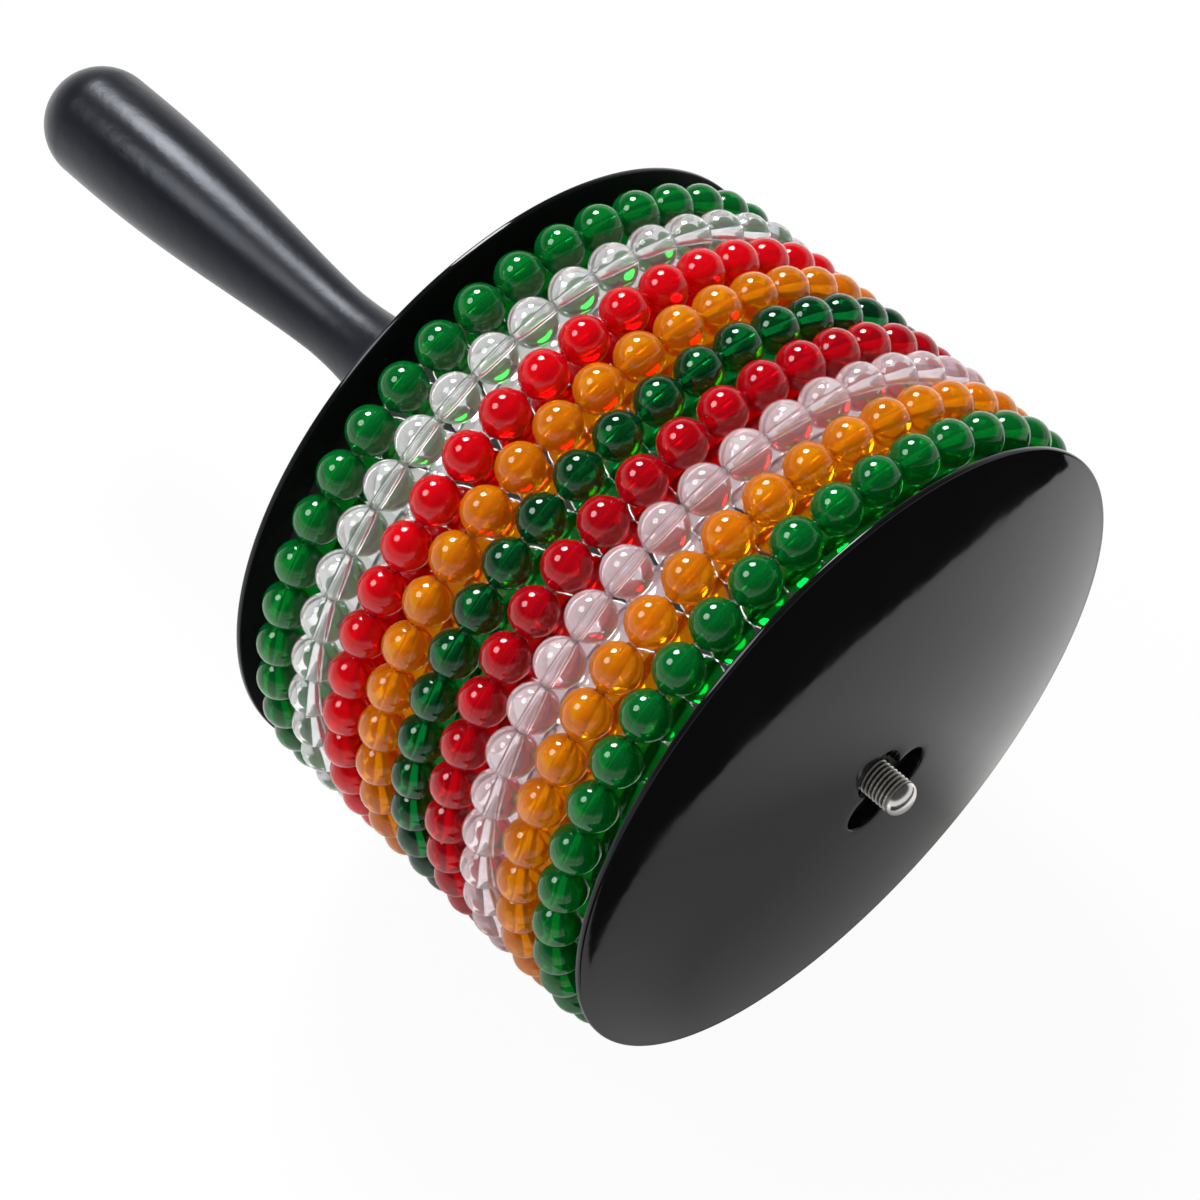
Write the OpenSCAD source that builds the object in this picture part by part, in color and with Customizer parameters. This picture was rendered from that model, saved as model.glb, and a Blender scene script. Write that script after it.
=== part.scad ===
// Cabasa: nine loops of round beads turn on a polished steel drum, between two domed
// black discs that a threaded rod clamps to the drum, with a moulded handle behind.
// Millimetres. The instrument lies on its loops of beads, its axis along X and its
// handle towards -X. The origin is on the table, under the middle of its length.

/* [Drum] */
// Outer diameter of the steel sleeve that the beads run on
drum_d = 105.6; // [80:0.2:150]
// Thickness of the sleeve's sheet steel
sleeve_wall = 0.6; // [0.4:0.1:1.2]
// Gap at the seam, where the rolled sheet meets itself
seam_gap = 0.4; // [0.2:0.1:1]
// Clearance on the diameter of the hole for the rod, in the core, the hubs and the handle
rod_clearance = 0.6; // [0.2:0.1:1.2]

/* [Bead loops] */
// Diameter of a bead
bead_d = 8.2; // [6:0.1:12]
// Least gap between neighbouring beads of a loop
bead_gap = 0.3; // [0.05:0.05:0.5]
// Wall of the short collar round a bead's hole, at both its ends
collar_wall = 0.25; // [0.2:0.05:0.8]
// Gap between neighbouring collars, at their edges next to the drum
collar_gap = 0.1; // [0.05:0.05:0.3]
// Diameter of the cord that a loop is strung on
cord_d = 1; // [0.8:0.1:2]
// Clearance on the radius between the cord and a bead's hole, where the cord bends in it
cord_clearance = 0.05; // [0.02:0.01:0.2]
// Gap between the sleeve and the beads
loop_lift = 0.3; // [0.2:0.1:1]
// Gap between one loop and the next
loop_gap = 0.1; // [0.1:0.05:1]
// Free room between the rear disc and the first loop
rear_play = 2.8; // [1:0.1:6]
// Free room between the last loop and the front disc
front_play = 2.8; // [1:0.1:6]

/* [Discs] */
// How far the beads stand out beyond the rims of the discs
bead_proud = 1.3; // [0:0.1:3]
// Thickness of a disc at its rim
rim_t = 1; // [0.8:0.1:3]
// Radius of the rim's two edges
rim_round = 0.4; // [0.2:0.1:0.4]
// Height of a disc's dome above its rim
dome_h = 7.4; // [5:0.1:12]
// Wall of a disc over its hollow
disc_wall = 2; // [1.2:0.1:3]
// Width of the ring that bears on the drum's end
seat_w = 5; // [3:0.5:10]
// Diameter of the hub inside a disc
hub_d = 25; // [22:1:36]
// Thickness of the hub's floor, under the lobed nut
hub_floor = 3; // [2:0.5:4]
// Number of ribs from the hub to the seat ring
rib_count = 6; // [3:1:12]
// Thickness of a rib
rib_t = 1.6; // [1:0.1:3]

/* [Lobed nut] */
// Radius of each of the nut's three lobes
lobe_r = 4.4; // [3:0.1:4.5]
// Distance of a lobe's centre from the rod's axis
lobe_reach = 4.8; // [4:0.1:6]
// Radius of the nut between its lobes
nut_waist_r = 4.3; // [4:0.1:5]
// Depth of the nut's face below the top of the dome
nut_sink = 2.4; // [0.2:0.1:3.4]
// Clearance all round the nut in its socket
nut_clearance = 0.15; // [0.05:0.05:0.4]
// Turn of the lobes about the axis
lobe_turn = 79; // [0:1:120]

/* [Rod] */
// Diameter over the thread
rod_d = 6.35; // [4:0.05:7]
// Pitch of the thread
thread_pitch = 0.79; // [0.5:0.01:1]
// Height of the rod's domed end
rod_dome_h = 2.2; // [1:0.1:3]
// How far the rod's domed end stands out of the front disc
rod_proud = 5.5; // [4:0.5:20]
// Clearance on the radius between a thread's crest and its nut
thread_fit = 0.05; // [0.02:0.01:0.1]

/* [Handle] */
// Length of the handle, from the top of the rear dome to its rounded tip
handle_len = 116; // [90:1:160]
// Diameter of the grip, next to the tip
grip_d = 22; // [18:0.5:34]
// Diameter at the waist
waist_d = 14; // [12:0.5:17]
// Diameter of the flared foot on the disc
foot_d = 34; // [24:1:44]
// Distance of the waist from the top of the rear dome
waist_at = 38; // [25:1:50]
// Length of the straight band between the swell of the grip and its rounded tip
band_len = 7; // [2:0.5:14]
// Outer diameter of the threaded insert
insert_d = 9; // [8:0.5:10]
// Length of the threaded insert
insert_len = 16; // [8:1:24]
// Distance of the insert from the top of the rear dome
insert_at = 56; // [50:1:66]

/* [Hidden] */
$fn = 96;
// Facets of a bead and sides of the cord in the preview
bead_facets = 28;
cord_facets = 20;
// Overrun of every cut past the face that it opens
over = 0.5;

// Loops from the rear disc to the front disc, each turned by a share of one bead's pitch
loops = 9;
turn_shares = [0.35, 0.9, 0.55, 0.1, 0.55, 0.9, 0.3, 0.7, 0];
loop_colours = ["#0c8a3e", "#e6eaea", "#d3122b", "#f08a12", "#06532f",
                "#b00d26", "#ece2e6", "#f08a12", "#0a7a38"];

// Shares of one thread pitch: the flat crest and the flat root
crest_share = 0.2;
root_share = 0.2;
// Depth of the thread as a share of its pitch
thread_depth_share = 0.6;
// Steps of the dome's outline, of each rounded edge of the rim and of a rounded end
dome_steps = 24;
edge_steps = 6;
end_steps = 20;
// Steps of the handle's outline along each of its two curves, and how they bend
outline_steps = 28;
flare_power = 2;
swell_power = 1.4;
// Rings cut round the insert, which hold it in the moulding
insert_rings = 3;
insert_ring_depth = 0.6;
insert_ring_share = 0.5;
// Chamfer at the rod's rear end and on the face of the lobed nut
rod_chamfer = 0.8;
nut_chamfer = 0.6;
// Room past the rod's rear end in the handle
rod_end_room = 2;

drum_r = drum_d / 2;
bead_r = bead_d / 2;
ring_r = drum_r + loop_lift + bead_r;
// As many beads as the ring that they make on the drum has room for
bead_count = floor(180 / asin((bead_r + bead_gap / 2) / ring_r));
half_turn = 180 / bead_count;
// The cord runs round as a ring, so in the straight hole of a bead it bows towards the drum
cord_bow = ring_r * (1 - cos(half_turn));
bore_r = cord_d / 2 + cord_bow + cord_clearance;
collar_r = bore_r + collar_wall;
bead_len = 2 * (ring_r - collar_r) * tan(half_turn) - collar_gap;
loop_pitch = bead_d + loop_gap;
drum_w = rear_play + loops * bead_d + (loops - 1) * loop_gap + front_play;

loop_r = ring_r + bead_r;
disc_r = loop_r - bead_proud;
disc_h = rim_t + dome_h;
dome_r = (disc_r * disc_r + dome_h * dome_h) / (2 * dome_h);
hub_r = hub_d / 2;
hollow_r = drum_r - seat_w;
rod_r = rod_d / 2;
rod_hole_r = rod_r + rod_clearance / 2;
nut_t = disc_h - hub_floor - nut_sink;

// Places along the axis, from the drum's rear end
x_rear_top = -disc_h;
x_tip = x_rear_top - handle_len;
x_front_top = drum_w + disc_h;
x_rod_end = x_front_top + rod_proud;
x_nut = drum_w + hub_floor;
x_insert = x_rear_top - insert_at - insert_len;
x_middle = (x_tip + x_rod_end) / 2;

// Moves a piece built along X from the drum's rear end to its place above the table
module on_axis() {
    translate([-x_middle, 0, loop_r]) children();
}

// Turns a shape built up along Z so that it runs along X from the place given
module along(x) {
    translate([x, 0, 0]) rotate([0, 90, 0]) children();
}

// Outline of a rounded end of a given height, from its widest ring to its tip
function round_end(r, height, at) = [
    for (step = [0 : end_steps]) let (turn = 90 * step / end_steps)
        [r * cos(turn), at + height * sin(turn)]
];

module lobes_outline(grow) {
    circle(r = nut_waist_r + grow);
    for (turn = [0, 120, 240])
        rotate(lobe_turn + turn) translate([lobe_reach, 0]) circle(r = lobe_r + grow);
}

// Height of the dome's outer surface over the drum's end, at a distance from the axis
function dome_z(r) = disc_h - dome_r + sqrt(dome_r * dome_r - r * r);

// Outline of a disc without its hollow: flat inner face, rounded rim, dome
dome_edge_r = disc_r - rim_round;
disc_outline = concat(
    [[0, 0]],
    [for (step = [0 : edge_steps]) let (turn = 90 * step / edge_steps)
        [dome_edge_r + rim_round * sin(turn), rim_round * (1 - cos(turn))]],
    [for (step = [0 : edge_steps]) let (turn = 90 * step / edge_steps)
        [dome_edge_r + rim_round * cos(turn), dome_z(dome_edge_r) - rim_round * (1 - sin(turn))]],
    [for (step = [1 : dome_steps]) let (r = dome_edge_r * (1 - step / dome_steps)) [r, dome_z(r)]]
);
hollow_outline = concat(
    [[hub_r, -over], [hollow_r, -over]],
    [for (step = [0 : dome_steps]) let (r = hollow_r + (hub_r - hollow_r) * step / dome_steps)
        [r, dome_z(r) - disc_wall]]
);

// A domed disc with its inner face at Z zero: rim, dome, hollow, hub, ribs and socket
module disc() {
    difference() {
        rotate_extrude() polygon(disc_outline);
        difference() {
            rotate_extrude() polygon(hollow_outline);
            for (turn = [1 : rib_count])
                rotate(turn * 360 / rib_count) translate([0, -rib_t / 2, 0])
                    cube([hollow_r + over, rib_t, disc_h]);
        }
        translate([0, 0, -over]) cylinder(r = rod_hole_r, h = hub_floor + 2 * over);
        translate([0, 0, hub_floor]) linear_extrude(disc_h) lobes_outline(nut_clearance);
    }
}

module front_disc() {
    color("#26262a") on_axis() along(drum_w) disc();
}

module rear_disc() {
    color("#1c1c20") on_axis() mirror([1, 0, 0]) along(0) disc();
}

module lobed_nut() {
    color("#101012") on_axis() along(x_nut) difference() {
        intersection() {
            linear_extrude(nut_t) lobes_outline(0);
            cylinder(r1 = lobe_reach + lobe_r + nut_t - nut_chamfer,
                     r2 = lobe_reach + lobe_r - nut_chamfer, h = nut_t);
        }
        translate([0, 0, -over]) cylinder(r = rod_r + thread_fit, h = nut_t + 2 * over);
    }
}

module drum_core() {
    color("#c9a36b") on_axis() along(0) difference() {
        cylinder(r = drum_r - sleeve_wall, h = drum_w);
        translate([0, 0, -over]) cylinder(r = rod_hole_r, h = drum_w + 2 * over);
    }
}

module drum_sleeve() {
    color("#d8dade") on_axis() along(0) difference() {
        cylinder(r = drum_r, h = drum_w);
        translate([0, 0, -over]) cylinder(r = drum_r - sleeve_wall, h = drum_w + 2 * over);
        translate([drum_r - sleeve_wall - over, -seam_gap / 2, -over])
            cube([sleeve_wall + 2 * over, seam_gap, drum_w + 2 * over]);
    }
}

// The rod: a chamfered rear end, a plain shank, ring grooves for the thread, a domed end
rod_len = x_rod_end - x_insert + rod_chamfer;
shoulder = rod_len - rod_dome_h;
thread_turns = floor((shoulder - (rod_len - (x_rod_end - drum_w))) / thread_pitch);
thread_start = shoulder - thread_turns * thread_pitch;
flank = thread_pitch * (1 - crest_share - root_share) / 2;
root_r = rod_r - thread_depth_share * thread_pitch;
thread_outline = [
    for (turn = [0 : thread_turns - 1]) let (z = thread_start + turn * thread_pitch) each [
        [rod_r, z],
        [root_r, z + flank],
        [root_r, z + flank + root_share * thread_pitch],
        [rod_r, z + thread_pitch * (1 - crest_share)]
    ]
];

module tie_rod() {
    color("#cfd2d6") on_axis() along(x_insert - rod_chamfer) rotate_extrude() polygon(concat(
        [[0, 0], [rod_r - rod_chamfer, 0], [rod_r, rod_chamfer]],
        thread_outline,
        round_end(rod_r, rod_dome_h, shoulder)
    ));
}

// Outline of the handle as [radius, distance from the top of the rear dome]
grip_r = grip_d / 2;
waist_r = waist_d / 2;
foot_r = foot_d / 2;
foot_drop = dome_r - sqrt(dome_r * dome_r - foot_r * foot_r);
tip_centre = handle_len - grip_r;
swell_len = tip_centre - band_len - waist_at;
flare_outline = [
    for (step = [0 : outline_steps]) let (share = step / outline_steps)
        [waist_r + (foot_r - waist_r) * pow(1 - share, flare_power),
         -foot_drop + share * (waist_at + foot_drop)]
];
swell_outline = [
    for (step = [1 : outline_steps]) let (share = step / outline_steps)
        [waist_r + (grip_r - waist_r) * pow(sin(90 * share), swell_power),
         waist_at + share * swell_len]
];

// The lobes under the foot sit in the rear disc's socket and keep the handle from turning
module handle() {
    color("#24242c") on_axis() mirror([1, 0, 0]) along(disc_h) difference() {
        union() {
            difference() {
                rotate_extrude() polygon(concat(
                    [[0, -foot_drop]], flare_outline, swell_outline,
                    round_end(grip_r, grip_r, tip_centre)
                ));
                translate([0, 0, -disc_h]) rotate_extrude() polygon(disc_outline);
            }
            translate([0, 0, -nut_t]) linear_extrude(nut_t + over) lobes_outline(0);
        }
        translate([0, 0, -nut_t - over]) cylinder(r = rod_hole_r, h = nut_t + insert_at + over);
        translate([0, 0, insert_at]) cylinder(r = insert_d / 2, h = insert_len);
        translate([0, 0, insert_at]) cylinder(r = rod_hole_r, h = insert_len + rod_end_room);
    }
}

module handle_insert() {
    ring_w = insert_len * insert_ring_share / insert_rings;
    ring_pitch = insert_len / insert_rings;
    color("#c8a24a") on_axis() along(x_insert) difference() {
        cylinder(r = insert_d / 2, h = insert_len);
        translate([0, 0, -over]) cylinder(r = rod_r + thread_fit, h = insert_len + 2 * over);
        for (ring = [0 : insert_rings - 1])
            translate([0, 0, (ring + insert_ring_share / 2) * ring_pitch]) difference() {
                cylinder(r = insert_d / 2 + over, h = ring_w);
                cylinder(r = insert_d / 2 - insert_ring_depth, h = ring_w);
            }
    }
}

// Middle of a loop along the axis
function loop_x(loop) = rear_play + bead_r + (loop - 1) * loop_pitch;

module bead() {
    difference() {
        union() {
            sphere(r = bead_r, $fn = bead_facets);
            cylinder(r = collar_r, h = bead_len, center = true, $fn = bead_facets);
        }
        cylinder(r = bore_r, h = bead_d + 2 * over, center = true, $fn = bead_facets);
    }
}

module bead_loop(loop) {
    step = 360 / bead_count;
    color(loop_colours[loop - 1]) on_axis() translate([loop_x(loop), 0, 0])
        for (place = [0 : bead_count - 1])
            rotate([(place + turn_shares[loop - 1]) * step, 0, 0])
                translate([0, 0, ring_r]) rotate([90, 0, 0]) bead();
}

module loop_cord(loop) {
    color("#f4f4f0") on_axis() along(loop_x(loop))
        rotate_extrude() translate([ring_r, 0]) circle(d = cord_d, $fn = cord_facets);
}

handle();
handle_insert();
tie_rod();
rear_disc();
front_disc();
lobed_nut();
drum_core();
drum_sleeve();
bead_loop(1);  // bead_loop_1
bead_loop(2);  // bead_loop_2
bead_loop(3);  // bead_loop_3
bead_loop(4);  // bead_loop_4
bead_loop(5);  // bead_loop_5
bead_loop(6);  // bead_loop_6
bead_loop(7);  // bead_loop_7
bead_loop(8);  // bead_loop_8
bead_loop(9);  // bead_loop_9
loop_cord(1);  // loop_cord_1
loop_cord(2);  // loop_cord_2
loop_cord(3);  // loop_cord_3
loop_cord(4);  // loop_cord_4
loop_cord(5);  // loop_cord_5
loop_cord(6);  // loop_cord_6
loop_cord(7);  // loop_cord_7
loop_cord(8);  // loop_cord_8
loop_cord(9);  // loop_cord_9
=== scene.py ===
# Cabasa: nine loops of glossy beads round a mirror-polished steel drum, between two domed
# black discs that a threaded rod clamps together, with a moulded black handle behind.
# Metres, Z up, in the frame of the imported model: the axis runs along X, the handle to -X.
import math
import random

import bpy
import numpy as np
from mathutils import Matrix, Vector


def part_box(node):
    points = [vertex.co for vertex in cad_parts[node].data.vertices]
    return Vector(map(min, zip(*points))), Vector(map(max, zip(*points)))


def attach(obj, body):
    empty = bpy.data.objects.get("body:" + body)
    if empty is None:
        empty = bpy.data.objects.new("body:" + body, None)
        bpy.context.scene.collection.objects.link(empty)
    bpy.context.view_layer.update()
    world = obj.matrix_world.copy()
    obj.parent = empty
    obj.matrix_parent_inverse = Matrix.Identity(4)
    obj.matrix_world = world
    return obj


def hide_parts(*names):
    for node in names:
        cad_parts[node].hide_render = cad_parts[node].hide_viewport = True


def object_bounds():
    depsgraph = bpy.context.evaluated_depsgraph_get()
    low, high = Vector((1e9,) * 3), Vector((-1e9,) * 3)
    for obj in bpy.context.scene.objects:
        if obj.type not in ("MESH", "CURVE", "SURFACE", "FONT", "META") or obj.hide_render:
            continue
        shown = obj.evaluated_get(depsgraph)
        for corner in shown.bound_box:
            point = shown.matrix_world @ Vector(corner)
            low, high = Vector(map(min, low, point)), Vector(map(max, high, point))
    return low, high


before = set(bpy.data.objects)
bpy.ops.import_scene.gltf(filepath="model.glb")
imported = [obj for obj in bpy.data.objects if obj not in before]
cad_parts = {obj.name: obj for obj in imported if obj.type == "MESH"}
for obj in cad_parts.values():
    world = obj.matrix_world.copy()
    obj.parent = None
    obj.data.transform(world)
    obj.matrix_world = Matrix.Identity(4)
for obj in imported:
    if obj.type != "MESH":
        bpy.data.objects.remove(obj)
cad_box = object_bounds()
scene = bpy.context.scene
scene.view_settings.view_transform = "Standard"

# Drum core: a cylinder turned from one block of beech and drilled for the rod. The sleeve
# and the two discs cover it. Its grain runs along the axis.
pale_wood = (0.62, 0.42, 0.23)
dark_wood = (0.40, 0.24, 0.12)


def new_finish(name, colour, roughness, metal=0.0):
    finish = bpy.data.materials.new(name)
    finish.use_nodes = True
    shader = finish.node_tree.nodes["Principled BSDF"]
    shader.inputs["Base Color"].default_value = (*colour, 1)
    shader.inputs["Roughness"].default_value = roughness
    shader.inputs["Metallic"].default_value = metal
    return finish


def add_node(owner, kind, inputs, **settings):
    added = owner.node_tree.nodes.new(kind)
    for name, value in settings.items():
        setattr(added, name, value)
    for name, value in inputs.items():
        if isinstance(value, bpy.types.NodeSocket):
            owner.node_tree.links.new(value, added.inputs[name])
        else:
            added.inputs[name].default_value = value
    return added


def feed(finish, socket, output):
    shader = finish.node_tree.nodes["Principled BSDF"]
    finish.node_tree.links.new(output, shader.inputs[socket])


def grain(finish, per_metre, detail, stretch=(1, 1, 1)):
    place = add_node(finish, "ShaderNodeTexCoord", {})
    scaled = add_node(finish, "ShaderNodeMapping", {"Vector": place.outputs["Object"], "Scale": stretch})
    noise = add_node(finish, "ShaderNodeTexNoise",
                     {"Vector": scaled.outputs["Vector"], "Scale": per_metre, "Detail": detail})
    return noise.outputs["Fac"]


def between(owner, fac, low, high, fac_low=0.3, fac_high=0.7, curve="LINEAR"):
    spread = add_node(owner, "ShaderNodeMapRange",
                      {"Value": fac, "From Min": fac_low, "From Max": fac_high,
                       "To Min": low, "To Max": high}, interpolation_type=curve)
    return spread.outputs["Result"]


# A Mix node set to colours takes them at its inputs 6 and 7 and gives its result at output 2
def two_tone(finish, fac, first, second):
    tones = {"Factor": fac, 6: (*first, 1), 7: (*second, 1)}
    return add_node(finish, "ShaderNodeMix", tones, data_type="RGBA").outputs[2]


def emboss(finish, fac, depth):
    bump = add_node(finish, "ShaderNodeBump", {"Height": fac, "Distance": depth})
    feed(finish, "Normal", bump.outputs["Normal"])


def wear(node_name, finish):
    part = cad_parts[node_name]
    part.data.materials.clear()
    part.data.materials.append(finish)


core_wood = new_finish("core_wood", colour=(0.55, 0.36, 0.19), roughness=0.62)
wood_grain = grain(core_wood, per_metre=260, detail=5, stretch=(0.12, 1, 1))
feed(core_wood, "Base Color", two_tone(core_wood, wood_grain, pale_wood, dark_wood))
feed(core_wood, "Roughness", between(core_wood, wood_grain, low=0.52, high=0.7))
emboss(core_wood, wood_grain, depth=0.00012)
wear("drum_core", core_wood)

# Drum sleeve: stainless sheet rolled round the core, its seam underneath, and polished to a
# mirror. The beads slap and rub on it, which leaves fine lines that run round it.
BODY = "drum_and_handle"
AXIS_Z = (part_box("rear_disc")[0].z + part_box("rear_disc")[1].z) / 2
sleeve_low, sleeve_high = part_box("drum_sleeve")
core_low, core_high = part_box("drum_core")
sleeve_r = (sleeve_high.z - sleeve_low.z) / 2
sleeve_bore_r = (core_high.z - core_low.z) / 2
sleeve_seam = 0.0004
sleeve_edge = 0.00015
sleeve_around = 288
steel_shade = (0.82, 0.825, 0.83)
steel_light = (0.90, 0.90, 0.905)


def join_rings(rings, around, closed_round=True, closed_rings=True, flipped=False):
    faces = []
    last_ring = rings if closed_rings else rings - 1
    last_side = around if closed_round else around - 1
    for ring in range(last_ring):
        here = ring * around
        there = (ring + 1) % rings * around
        for side in range(last_side):
            beside = (side + 1) % around
            face = (here + side, here + beside, there + beside, there + side)
            faces.append(face[::-1] if flipped else face)
    return faces


def make_piece(name, points, faces, finish, body, sharp_deg):
    mesh = bpy.data.meshes.new(name)
    mesh.from_pydata(points, [], faces)
    mesh.update()
    piece = bpy.data.objects.new(name, mesh)
    scene.collection.objects.link(piece)
    mesh.materials.append(finish)
    mesh.shade_smooth()
    mesh.set_sharp_from_angle(angle=math.radians(sharp_deg))
    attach(piece, body)
    return piece


def on_axis(x, r, turn):
    return (x, r * math.cos(turn), AXIS_Z + r * math.sin(turn))


steel_mirror = new_finish("steel_mirror", colour=(0.86, 0.865, 0.87), roughness=0.07, metal=1.0)
polish_lines = grain(steel_mirror, per_metre=2600, detail=3, stretch=(1, 0.03, 0.03))
hand_marks = grain(steel_mirror, per_metre=45, detail=3)
feed(steel_mirror, "Roughness", between(steel_mirror, hand_marks, low=0.045, high=0.12))
feed(steel_mirror, "Base Color", two_tone(steel_mirror, hand_marks, steel_shade, steel_light))
emboss(steel_mirror, polish_lines, depth=0.000004)

sleeve_outline = [
    (sleeve_low.x, sleeve_bore_r), (sleeve_low.x, sleeve_r - sleeve_edge),
    (sleeve_low.x + sleeve_edge, sleeve_r), (sleeve_high.x - sleeve_edge, sleeve_r),
    (sleeve_high.x, sleeve_r - sleeve_edge), (sleeve_high.x, sleeve_bore_r),
]
sleeve_rings = len(sleeve_outline)
seam_turn = math.asin(sleeve_seam / 2 / sleeve_r)
sleeve_points = []
for x, r in sleeve_outline:
    for side in range(sleeve_around):
        share = side / (sleeve_around - 1)
        turn = -math.pi / 2 + seam_turn + share * (2 * math.pi - 2 * seam_turn)
        sleeve_points.append(on_axis(x, r, turn))
sleeve_faces = join_rings(sleeve_rings, sleeve_around, closed_round=False)
sleeve_faces.append([ring * sleeve_around for ring in range(sleeve_rings)])
sleeve_faces.append([(ring + 1) * sleeve_around - 1 for ring in reversed(range(sleeve_rings))])
sleeve = make_piece("polished_sleeve", sleeve_points, sleeve_faces, steel_mirror, BODY,
                    sharp_deg=30)
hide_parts("drum_sleeve")

# Bead loops: nine loops of round beads cast in clear and dyed acrylic, some of it cloudy.
# Each bead is drilled, with a short collar at both ends that bears on the next bead. They
# are strung on cord and turn freely on the drum. No two sit or are dyed quite alike.
bead_count = 42
bead_around = 30
bead_steps = 16
collar_wall = 0.00025
collar_edge = 0.00007
cord_play = 0.00005
collar_gap = 0.00005
bore_shares = (0.97, 0.5, 0, -0.5, -0.97)
cord_low, cord_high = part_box("loop_cord_1")
bead_low, bead_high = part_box("bead_loop_1")
cord_r = (cord_high.x - cord_low.x) / 2
loop_r = (cord_high.z - cord_low.z) / 2 - cord_r
bead_r = (bead_high.x - bead_low.x) / 2
half_turn = math.pi / bead_count
bead_bore_r = cord_r + loop_r * (1 - math.cos(half_turn)) + cord_play
collar_r = bead_bore_r + collar_wall
bead_half = (loop_r - collar_r) * math.tan(half_turn) - collar_gap
bead_lean = math.radians(0.8)
bead_shift = 0.00003
bead_settle = 1.7 * bead_shift
bead_top_share = 0.985
acrylic_ior = 1.49
faded_share = 0.92
# The look of each loop, from the handle's side
loops = ["green", "clear", "red", "orange", "dark_green", "dark_red", "rosy_clear", "orange", "green"]
# Each look: its colour, how cloudy it is, and the light that one whole bead lets through
looks = {
    "green": ((0.002, 0.32, 0.055), 0.28, (0.015, 0.72, 0.20)),
    "clear": ((0.98, 0.99, 0.99), 0.10, (0.98, 0.995, 0.99)),
    "red": ((0.92, 0.003, 0.012), 0.44, (0.97, 0.06, 0.10)),
    "orange": ((1.0, 0.36, 0.006), 0.32, (1.0, 0.92, 0.14)),
    "dark_green": ((0.006, 0.36, 0.12), 0.06, (0.015, 0.42, 0.16)),
    "dark_red": ((0.80, 0.003, 0.018), 0.32, (0.92, 0.05, 0.10)),
    "rosy_clear": ((1.0, 0.91, 0.93), 0.16, (0.995, 0.93, 0.95)),
}


def acrylic(name, colour, cloudy, let_through):
    dyed = new_finish(name, colour, roughness=0.012)
    shader = dyed.node_tree.nodes["Principled BSDF"]
    shader.inputs["Transmission Weight"].default_value = 1 - cloudy
    shader.inputs["IOR"].default_value = acrylic_ior
    loss = [-math.log(share) / (2 * bead_r) for share in let_through]
    dye = add_node(dyed, "ShaderNodeVolumeAbsorption", {
        "Color": (*[1 - part / max(loss) for part in loss], 1),
        "Density": max(loss),
    })
    output = dyed.node_tree.nodes["Material Output"]
    dyed.node_tree.links.new(dye.outputs["Volume"], output.inputs["Volume"])
    tone = add_node(dyed, "ShaderNodeAttribute", {}, attribute_name="bead_tone")
    faded = [faded_share * part for part in colour]
    feed(dyed, "Base Color", two_tone(dyed, tone.outputs["Fac"], faded, colour))
    rub = grain(dyed, per_metre=700, detail=3)
    feed(dyed, "Roughness", between(dyed, rub, low=0.008, high=0.03, fac_low=0.45, fac_high=0.75))
    emboss(dyed, grain(dyed, per_metre=300, detail=1), depth=0.000006)
    return dyed


# A bead's section on one side of its bore, as places along the bore and radii
def bead_outline():
    start = math.asin(collar_r / bead_r)
    ball = [(-bead_r * math.cos(turn), bead_r * math.sin(turn))
            for turn in np.linspace(start, math.pi - start, bead_steps + 1)]
    left = [(-bead_half, bead_bore_r + collar_edge), (-bead_half, collar_r - collar_edge),
            (-bead_half + collar_edge, collar_r)]
    right = [(-along, r) for along, r in reversed(left)]
    bore = [(bead_half * share, bead_bore_r) for share in bore_shares]
    return left + ball + right + bore


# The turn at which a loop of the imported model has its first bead, from its outermost points
def bead_phase(node_name):
    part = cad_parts[node_name]
    flat = np.empty(len(part.data.vertices) * 3)
    part.data.vertices.foreach_get("co", flat)
    places = flat.reshape(-1, 3)
    across, up = places[:, 1], places[:, 2] - AXIS_Z
    outermost = np.hypot(across, up) > loop_r + bead_top_share * bead_r
    turns = np.arctan2(up[outermost], across[outermost])
    return np.angle(np.exp(1j * bead_count * turns).sum()) / bead_count


outline = np.array(bead_outline())
sides = np.linspace(0, 2 * math.pi, bead_around, endpoint=False)
one_bead = np.stack([
    np.outer(outline[:, 1], np.cos(sides)),
    np.outer(outline[:, 1], np.sin(sides)),
    np.repeat(outline[:, :1], bead_around, axis=1),
], axis=-1).reshape(-1, 3)
bead_faces = np.array(join_rings(len(outline), bead_around))
finishes = {}
for number, look in enumerate(loops, start=1):
    draw = random.Random(number)
    node_name = f"bead_loop_{number}"
    low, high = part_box(node_name)
    phase = bead_phase(node_name)
    points, faces, tones = [], [], []
    for bead in range(bead_count):
        turn = phase + 2 * bead * half_turn
        lean = Matrix.Rotation(draw.uniform(-bead_lean, bead_lean), 3, "Z")
        place = Matrix.Rotation(turn, 3, "X")
        out = Vector((0, loop_r + draw.uniform(-bead_shift, bead_shift) - bead_settle, 0))
        shift = Vector((0, 0, draw.uniform(-bead_shift, bead_shift)))
        turned_bead = one_bead @ np.array(place @ lean).T
        centre = np.array(place @ (out + shift)) + np.array([(low.x + high.x) / 2, 0, AXIS_Z])
        faces.append(bead_faces + len(one_bead) * bead)
        points.append(turned_bead + centre)
        tones.append(np.full(len(one_bead), draw.random()))
    if look not in finishes:
        finishes[look] = acrylic(f"acrylic_{look}", *looks[look])
    loop = make_piece(f"beads_{number}_{look}", np.concatenate(points).tolist(),
                      np.concatenate(faces).tolist(), finishes[look], f"loop_{number}",
                      sharp_deg=40)
    tone = loop.data.attributes.new("bead_tone", "FLOAT", "POINT")
    tone.data.foreach_set("value", np.concatenate(tones))
    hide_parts(node_name)

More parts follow.
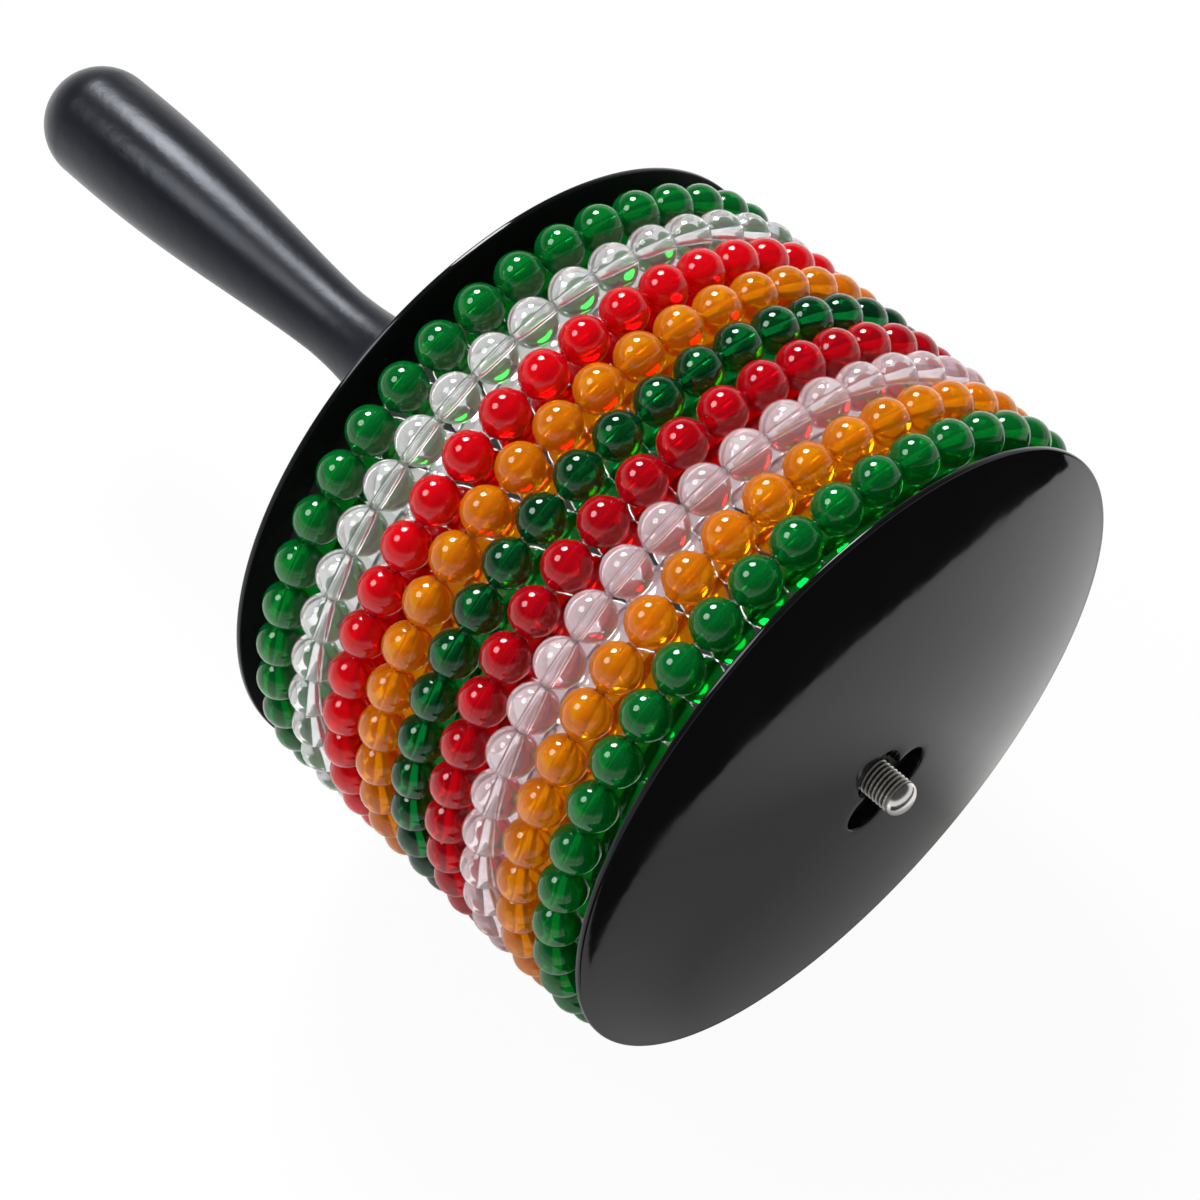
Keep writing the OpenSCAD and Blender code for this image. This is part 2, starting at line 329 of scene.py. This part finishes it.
# Loop cords: clear nylon line drawn to a smooth round, milky in places, which runs through
# all the beads of a loop. The photograph doesn't show how it is closed, so it is a plain ring.
nylon_clarity = 0.95
nylon_ior = 1.53
clear_nylon = (0.98, 0.98, 0.97)
milky_nylon = (0.90, 0.90, 0.88)
nylon = new_finish("cord_nylon", colour=(0.95, 0.95, 0.94), roughness=0.12)
nylon_shader = nylon.node_tree.nodes["Principled BSDF"]
nylon_shader.inputs["Transmission Weight"].default_value = nylon_clarity
nylon_shader.inputs["IOR"].default_value = nylon_ior
milky = grain(nylon, per_metre=900, detail=3)
feed(nylon, "Base Color", two_tone(nylon, milky, clear_nylon, milky_nylon))
feed(nylon, "Roughness", between(nylon, milky, low=0.05, high=0.25))
for number in range(1, len(loops) + 1):
    wear(f"loop_cord_{number}", nylon)

# Discs: two like mouldings in black plastic, glossy outside and matt towards the drum. Each
# has a thin rim, a low dome, a flat ring that bears on the drum's end, and a hub with a
# socket of three lobes, for the lobed nut in front and for the handle's foot behind.
front_low, front_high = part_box("front_disc")
rear_low, rear_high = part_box("rear_disc")
rod_low, rod_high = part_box("tie_rod")
rod_r = (rod_high.z - rod_low.z) / 2
disc_r = (front_high.z - front_low.z) / 2
disc_h = front_high.x - front_low.x
rim_t = 0.001
rim_round = 0.0004
dome_h = disc_h - rim_t
dome_r = (disc_r ** 2 + dome_h ** 2) / (2 * dome_h)
disc_wall = 0.002
seat_width = 0.005
seat_r = sleeve_r - seat_width
hub_r = 0.0125
hub_floor = 0.003
hub_blend = 0.002
rod_gap = 0.0003
rod_hole_r = rod_r + rod_gap
lobe_r = 0.0044
lobe_reach = 0.0048
lobe_waist_r = 0.0043
lobe_turn = math.radians(-11)
lobe_gap = 0.00015
socket_edge = 0.00045
blend_shares = (0.25, 0.5, 0.75, 1.0)
edge_rings = 7
dome_rings = 30
inside_rings = 10
disc_around = 360
matt_below = 0.1 * rim_t
gloss_shine = 0.28
gloss_tint = (0.93, 0.94, 1, 1)
matt_shine = 0.08


# The radius of the three-lobed outline at one turn, all of it moved outwards by grow
def lobed(turn, grow):
    off = (turn - lobe_turn + math.pi / 3) % (2 * math.pi / 3) - math.pi / 3
    lobe = lobe_r + grow
    waist = lobe_waist_r + grow
    inside = lobe ** 2 - (lobe_reach * math.sin(off)) ** 2
    if inside < 0:
        return waist
    return max(waist, lobe_reach * math.cos(off) + math.sqrt(inside))


def dome_at(r):
    return disc_h - dome_r + math.sqrt(dome_r ** 2 - r ** 2)


# The disc's section at one turn, as radii and heights over its flat inner side
def disc_outline(turn):
    quarter = np.linspace(0, math.pi / 2, edge_rings)
    wall_r = lobed(turn, lobe_gap)
    top = dome_at(wall_r + socket_edge)
    section = [(rod_hole_r, 0.0), (rod_hole_r, hub_floor), (wall_r, hub_floor)]
    for bend in quarter:
        section.append((wall_r + socket_edge * (1 - math.cos(bend)),
                        top - socket_edge * (1 - math.sin(bend))))
    round_r = hub_r + hub_blend
    for share in blend_shares:
        r = (1 - share) * (wall_r + socket_edge) + share * round_r
        section.append((r, dome_at(r)))
    edge_r = disc_r - rim_round
    for r in np.linspace(round_r, edge_r, dome_rings)[1:]:
        section.append((r, dome_at(r)))
    for bend in quarter[1:]:
        section.append((edge_r + rim_round * math.sin(bend),
                        dome_at(edge_r) - rim_round * (1 - math.cos(bend))))
    for bend in quarter:
        section.append((edge_r + rim_round * math.cos(bend), rim_round * (1 - math.sin(bend))))
    section.append((seat_r, 0.0))
    for r in np.linspace(seat_r, hub_r, inside_rings):
        section.append((r, dome_at(r) - disc_wall))
    section.append((hub_r, 0.0))
    return section


# All the points of a turned piece, ring by ring, from its section at each turn
def turned(section_at, around):
    turns = [2 * math.pi * side / around for side in range(around)]
    sections = [section_at(turn) for turn in turns]
    return [on_axis(x, r, turn) for ring in zip(*sections) for (x, r), turn in zip(ring, turns)]


def make_disc(name, inner_x, outward, replaced):
    def section_at(turn):
        return [(inner_x + outward * height, r) for r, height in disc_outline(turn)]

    points = turned(section_at, disc_around)
    faces = join_rings(len(points) // disc_around, disc_around, flipped=outward > 0)
    disc = make_piece(name, points, faces, gloss_black, BODY, sharp_deg=35)
    disc.data.materials.append(moulded_black)
    for face in disc.data.polygons:
        if outward * (face.center.x - inner_x) < matt_below:
            face.material_index = 1
    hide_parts(replaced)


gloss_black = new_finish("gloss_black", colour=(0.0055, 0.0055, 0.006), roughness=0.05)
gloss_shader = gloss_black.node_tree.nodes["Principled BSDF"]
gloss_shader.inputs["Specular IOR Level"].default_value = gloss_shine
gloss_shader.inputs["Specular Tint"].default_value = gloss_tint
fine_wipe = grain(gloss_black, per_metre=60, detail=4)
feed(gloss_black, "Roughness", between(gloss_black, fine_wipe, low=0.035, high=0.09))
emboss(gloss_black, grain(gloss_black, per_metre=110, detail=2), depth=0.00003)
moulded_black = new_finish("moulded_black", colour=(0.004, 0.004, 0.0045), roughness=0.5)
moulded_black.node_tree.nodes["Principled BSDF"].inputs["Specular IOR Level"].default_value = matt_shine
mould_skin = grain(moulded_black, per_metre=1800, detail=2)
feed(moulded_black, "Roughness", between(moulded_black, mould_skin, low=0.45, high=0.6))
emboss(moulded_black, mould_skin, depth=0.00001)
make_disc("front_dome", front_low.x, 1, "front_disc")
make_disc("rear_dome", rear_high.x, -1, "rear_disc")

# Lobed nut: a black moulding of three lobes that fills the front disc's socket, a little
# below the dome. The rod's thread runs through it, and the socket keeps it from turning.
nut_low, nut_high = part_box("lobed_nut")
nut_chamfer = 0.0006
chamfer_bend = 0.3 * nut_chamfer
nut_play = 0.00005
nut_bore_r = rod_r + nut_play
nut_mouth_gap = 0.00035
nut_mouth_r = rod_r + nut_mouth_gap
nut_mouth_depth = 0.0003
nut_shine = 0.12
nut_black = new_finish("nut_black", colour=(0.003, 0.003, 0.0035), roughness=0.4)
nut_black.node_tree.nodes["Principled BSDF"].inputs["Specular IOR Level"].default_value = nut_shine
nut_grain = grain(nut_black, per_metre=1500, detail=3)
feed(nut_black, "Roughness", between(nut_black, nut_grain, low=0.34, high=0.5))
emboss(nut_black, nut_grain, depth=0.00002)


def nut_section(turn):
    lobe_edge = lobed(turn, 0)
    return [
        (nut_low.x, nut_bore_r), (nut_high.x - nut_mouth_depth, nut_bore_r),
        (nut_high.x, nut_mouth_r), (nut_high.x, lobe_edge - nut_chamfer),
        (nut_high.x - chamfer_bend, lobe_edge - chamfer_bend),
        (nut_high.x - nut_chamfer, lobe_edge), (nut_low.x, lobe_edge),
    ]


nut_points = turned(nut_section, disc_around)
nut_faces = join_rings(len(nut_points) // disc_around, disc_around, flipped=True)
nut = make_piece("socket_nut", nut_points, nut_faces, nut_black, BODY, sharp_deg=35)
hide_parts("lobed_nut")

# Tie rod: nickel-plated steel rod with a rolled fine thread and a polished domed end. The
# thread's crest is painted pale as painted highlight and its root dark as painted shade. It
# runs through the drum and screws into the handle's insert.
rod_pitch = 0.00079
rod_depth = 0.6 * rod_pitch
rod_chamfer = 0.0008
rod_dome_h = 0.0022
rod_dome_rings = 18
rod_around = 192
rod_steps = 24
crest_gain = 1.6
crest_flat = 0.2
thread_from = core_high.x
thread_to = rod_high.x - rod_dome_h
# Lit and shaded copies of the nickel: a pale warm crest as painted highlight, a dark root as painted
# shade
crest_painted_light = (0.98, 0.94, 0.88)
root_painted_shade = (0.10, 0.085, 0.07)
nickel = new_finish("nickel", colour=(0.95, 0.90, 0.85), roughness=0.3, metal=0.72)
handled = grain(nickel, per_metre=900, detail=4)
feed(nickel, "Roughness", between(nickel, handled, low=0.26, high=0.34))
# Painted highlight on the thread's crest and painted shade in its root, by how deep the thread is cut
root = add_node(nickel, "ShaderNodeAttribute", {}, attribute_name="thread_painted_shade")
feed(nickel, "Base Color", two_tone(nickel, root.outputs["Fac"], crest_painted_light, root_painted_shade))
dome_shade = (0.86, 0.81, 0.79)
dome_light = (0.94, 0.90, 0.88)
polished_nickel = new_finish("polished_nickel", colour=(0.90, 0.86, 0.84), roughness=0.2, metal=0.95)
buffed = grain(polished_nickel, per_metre=700, detail=3)
feed(polished_nickel, "Roughness", between(polished_nickel, buffed, low=0.17, high=0.22))
feed(polished_nickel, "Base Color", two_tone(polished_nickel, buffed, dome_shade, dome_light))


# How deep the thread is cut at one place, from 0 at its crest to 1 at its root
def thread_cut(x, turn):
    ramp = min(1, (x - thread_from) / rod_pitch, (thread_to - x) / rod_pitch)
    phase = (x / rod_pitch - turn / (2 * math.pi)) % 1
    wave = 0.5 - 0.5 * math.cos(2 * math.pi * phase)
    return max(ramp, 0) * min(max(crest_gain * wave - crest_flat, 0), 1)


# Joins the ring of points that starts at first to one middle point
def close_end(points, faces, first, around, middle, flipped=False):
    points.append(middle)
    for side in range(around):
        edge = (first + side, first + (side + 1) % around)
        if flipped:
            edge = edge[::-1]
        faces.append((*edge, len(points) - 1))


rod_rings = [(rod_low.x, rod_r - rod_chamfer, False), (rod_low.x + rod_chamfer, rod_r, False)]
for x in np.arange(thread_from, thread_to, rod_pitch / rod_steps):
    rod_rings.append((float(x), rod_r, True))
for bend in np.linspace(0, math.pi / 2, rod_dome_rings)[:-1]:
    rod_rings.append((thread_to + rod_dome_h * math.sin(bend), rod_r * math.cos(bend), False))
rod_points, root_shade_paint = [], []
for x, r, threaded in rod_rings:
    for side in range(rod_around):
        turn = 2 * math.pi * side / rod_around
        cut = thread_cut(x, turn) if threaded else 0
        rod_points.append(on_axis(x, r - rod_depth * cut, turn))
        root_shade_paint.append(cut)
rod_faces = join_rings(len(rod_rings), rod_around, closed_rings=False)
rod_faces.append(list(reversed(range(rod_around))))
close_end(rod_points, rod_faces, (len(rod_rings) - 1) * rod_around, rod_around,
          (rod_high.x, 0, AXIS_Z))
root_shade_paint.append(0)
rod = make_piece("threaded_rod", rod_points, rod_faces, nickel, BODY, sharp_deg=50)
rod.data.materials.append(polished_nickel)
for face in rod.data.polygons:
    if face.center.x > thread_to:
        face.material_index = 1
# How deep each point is cut, kept as the mask for the thread's painted highlight and painted shade
rod.data.attributes.new("thread_painted_shade", "FLOAT", "POINT").data.foreach_set("value", root_shade_paint)
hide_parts("tie_rod")

# Handle: one moulding in satin black plastic, round all the way: a flared foot on the rear
# disc, a slim waist, a swell for the palm and a rounded tip. Out of sight, a brass insert
# takes the rod.
handle_low, handle_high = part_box("handle")
grip_r = 0.011
waist_r = 0.007
foot_r = (handle_high.z - handle_low.z) / 2
waist_at = 0.038
band_len = 0.007
flare_power = 2
swell_power = 1.4
flare_rings = 40
swell_rings = 60
tip_rings = 24
handle_around = 128
foot_x = rear_low.x
tip_x = handle_low.x
handle_len = foot_x - tip_x
foot_drop = dome_r - math.sqrt(dome_r ** 2 - foot_r ** 2)
swell_len = handle_len - grip_r - band_len - waist_at
satin_shine = 0.34
satin_tint = (0.84, 0.89, 1, 1)
rubbed_black = (0.004, 0.0045, 0.008)
dull_black = (0.007, 0.0075, 0.012)
satin_black = new_finish("satin_black", colour=(0.010, 0.011, 0.017), roughness=0.28)
satin_shader = satin_black.node_tree.nodes["Principled BSDF"]
satin_shader.inputs["Specular IOR Level"].default_value = satin_shine
satin_shader.inputs["Specular Tint"].default_value = satin_tint
palm = grain(satin_black, per_metre=30, detail=3, stretch=(0.5, 1, 1))
pores = grain(satin_black, per_metre=380, detail=5)
feed(satin_black, "Roughness", between(satin_black, palm, low=0.28, high=0.38))
feed(satin_black, "Base Color", two_tone(satin_black, palm, rubbed_black, dull_black))
emboss(satin_black, pores, depth=0.00007)

# The handle's section, as radii and places behind the rear disc's face
handle_outline = []
for share in np.linspace(0, 1, flare_rings):
    handle_outline.append((waist_r + (foot_r - waist_r) * (1 - share) ** flare_power,
                           -foot_drop + share * (waist_at + foot_drop)))
for share in np.linspace(0, 1, swell_rings)[1:]:
    handle_outline.append((waist_r + (grip_r - waist_r) * math.sin(share * math.pi / 2) ** swell_power,
                           waist_at + share * swell_len))
for bend in np.linspace(0, math.pi / 2, tip_rings)[:-1]:
    handle_outline.append((grip_r * math.cos(bend), handle_len - grip_r + grip_r * math.sin(bend)))
handle_section = [(foot_x - behind, r) for r, behind in handle_outline]
handle_points = turned(lambda turn: handle_section, handle_around)
handle_faces = join_rings(len(handle_section), handle_around, closed_rings=False, flipped=True)
close_end(handle_points, handle_faces, (len(handle_section) - 1) * handle_around, handle_around,
          (tip_x, 0, AXIS_Z), flipped=True)
close_end(handle_points, handle_faces, 0, handle_around, (foot_x, 0, AXIS_Z))
handle = make_piece("moulded_handle", handle_points, handle_faces, satin_black, BODY,
                    sharp_deg=35)
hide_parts("handle")

# Handle insert: turned brass with three grooves that key it into the moulding. It is inside
# the handle and holds the rod's rear end.
dull_brass = (0.62, 0.42, 0.16)
bright_brass = (0.80, 0.57, 0.25)
brass = new_finish("brass", colour=(0.72, 0.50, 0.20), roughness=0.3, metal=1.0)
tool_marks = grain(brass, per_metre=2200, detail=2, stretch=(1, 0.1, 0.1))
feed(brass, "Roughness", between(brass, tool_marks, low=0.22, high=0.4))
feed(brass, "Base Color", two_tone(brass, tool_marks, dull_brass, bright_brass))
wear("handle_insert", brass)

# Floor: a wide sheet of white card that the object lies on. To the camera and through clear
# plastic it glows nearly white, with a faint shadow. All else sees it as lit card.
floor_half = 2.5
card_shine = 0.1
camera_glow = 0.95
plastic_glow = 0.9


def lay_sheet(name, points, faces, finish):
    mesh = bpy.data.meshes.new(name)
    mesh.from_pydata(points, [], faces)
    mesh.materials.append(finish)
    sheet = bpy.data.objects.new(name, mesh)
    scene.collection.objects.link(sheet)
    return sheet


card = new_finish("white_card", colour=(0.83, 0.83, 0.83), roughness=0.9)
card_shader = card.node_tree.nodes["Principled BSDF"]
card_shader.inputs["Specular IOR Level"].default_value = card_shine
paths = add_node(card, "ShaderNodeLightPath", {})
glow = add_node(card, "ShaderNodeEmission", {"Color": (1, 1, 1, 1), "Strength": 1.0})
seen = add_node(card, "ShaderNodeMath", {0: paths.outputs["Is Camera Ray"], 1: camera_glow},
                operation="MULTIPLY")
through = add_node(card, "ShaderNodeMath", {0: paths.outputs["Is Transmission Ray"], 1: plastic_glow},
                   operation="MULTIPLY")
either = add_node(card, "ShaderNodeMath", {0: seen.outputs[0], 1: through.outputs[0]},
                  operation="MAXIMUM")
mixed_card = add_node(card, "ShaderNodeMixShader",
                      {0: either.outputs[0], 1: card_shader.outputs[0], 2: glow.outputs[0]})
card_output = card.node_tree.nodes["Material Output"]
card.node_tree.links.new(mixed_card.outputs[0], card_output.inputs["Surface"])
floor_corners = [(sx * floor_half, sy * floor_half, 0) for sx, sy in ((-1, -1), (1, -1), (1, 1), (-1, 1))]
lay_sheet("floor", floor_corners, [(0, 1, 2, 3)], card)

# Black flag: a card cut to part of a ring, which lies on the floor in front of the object.
# Only gloss sees it, and it puts the dark band into the front dome.
flag_behind = 0.004
flag_aside = 0.050
flag_middle = (front_high.x - flag_behind, flag_aside)
flag_radii = (0.104, 0.30)
flag_half_turn = math.radians(75)
flag_columns = 49
flag_lift = 0.0005
flag_black = new_finish("black_card", colour=(0.004, 0.004, 0.004), roughness=0.9)
flag_black.node_tree.nodes["Principled BSDF"].inputs["Specular IOR Level"].default_value = 0.0
flag_turns = np.linspace(-flag_half_turn, flag_half_turn, flag_columns)
flag_points = [(flag_middle[0] + r * math.cos(turn), flag_middle[1] + r * math.sin(turn), flag_lift)
               for r in flag_radii for turn in flag_turns]
flag_faces = join_rings(len(flag_radii), flag_columns, closed_round=False, closed_rings=False)
flag = lay_sheet("black_flag", flag_points, flag_faces, flag_black)
flag.visible_camera = False
flag.visible_diffuse = False
flag.visible_transmission = False
flag.visible_shadow = False

# Light: two round soft boxes over the handle's side, the key behind the object and a wider,
# weaker fill in front of it. Neither lights the sleeve, where they would burn white glints
# between the beads.
key_way = Vector((-0.56, 0.31, 0.77))
fill_way = Vector((-0.44, -0.43, 0.79))
aim_ahead = 0.05
lamp_aim = Vector(((cad_box[0][0] + cad_box[1][0]) / 2 + aim_ahead, 0, AXIS_Z))
unlit = bpy.data.collections.new("not_lit_by_lamps")
unlit.objects.link(sleeve)
for entry in unlit.collection_objects:
    entry.light_linking.link_state = "EXCLUDE"


def hang_lamp(name, way, distance, size, power):
    lamp = bpy.data.lights.new(name, "AREA")
    lamp.shape = "DISK"
    lamp.size = size
    lamp.energy = power
    hung = bpy.data.objects.new(name, lamp)
    scene.collection.objects.link(hung)
    hung.location = lamp_aim + way.normalized() * distance
    hung.rotation_euler = way.to_track_quat("Z", "Y").to_euler()
    hung.light_linking.receiver_collection = unlit


hang_lamp("key_box", key_way, distance=1.2, size=0.42, power=12.0)
hang_lamp("fill_box", fill_way, distance=1.3, size=0.55, power=6.0)

# Room: the even light all round, as a pale grey at a strength for each kind of ray. Gloss
# sees it fade from the horizon to a dark ceiling, and so shows a dark sky in the domes.
room_grey = (0.8, 0.8, 0.8, 1)
room_strength = 0.62
horizon_strength = 0.95
ceiling_strength = 0.05
fade_from = 0.1
fade_to = 0.5
plastic_strength = 1.0
camera_strength = 1.0
room = bpy.data.worlds.new("room")
scene.world = room
room.use_nodes = True
room.node_tree.nodes.clear()
rays = add_node(room, "ShaderNodeLightPath", {})
sky_way = add_node(room, "ShaderNodeTexCoord", {})
sky_parts = add_node(room, "ShaderNodeSeparateXYZ", {0: sky_way.outputs["Generated"]})


# A Mix node set to plain numbers takes them at its inputs 2 and 3. Its factor is clamped,
# so that Transmission Depth counts as 1 from the first clear surface on
def choose(ray, otherwise, chosen):
    picks = {"Factor": rays.outputs[ray], 2: otherwise, 3: chosen}
    return add_node(room, "ShaderNodeMix", picks, data_type="FLOAT", clamp_factor=True).outputs[0]


in_gloss = between(room, sky_parts.outputs["Z"], low=horizon_strength, high=ceiling_strength,
                   fac_low=fade_from, fac_high=fade_to, curve="SMOOTHSTEP")
strength = choose("Is Glossy Ray", room_strength, in_gloss)
strength = choose("Transmission Depth", strength, plastic_strength)
strength = choose("Is Camera Ray", strength, camera_strength)
air = add_node(room, "ShaderNodeBackground", {"Color": room_grey, "Strength": strength})
add_node(room, "ShaderNodeOutputWorld", {"Surface": air.outputs[0]})

# Camera: a long lens in front of the object, off to one side and well above it, fitted to
# both rims, the rows of beads and the handle in the photograph.
camera_place = (0.2836, -0.2312, 0.4998)
camera_turn = (36.65, 0, 46.82)
lens_mm = 98.41
sensor_mm = 36
camera = bpy.data.cameras.new("camera")
camera.lens = lens_mm
camera.sensor_width = sensor_mm
stand = bpy.data.objects.new("camera", camera)
stand.location = camera_place
stand.rotation_euler = [math.radians(part) for part in camera_turn]
scene.collection.objects.link(stand)
scene.camera = stand
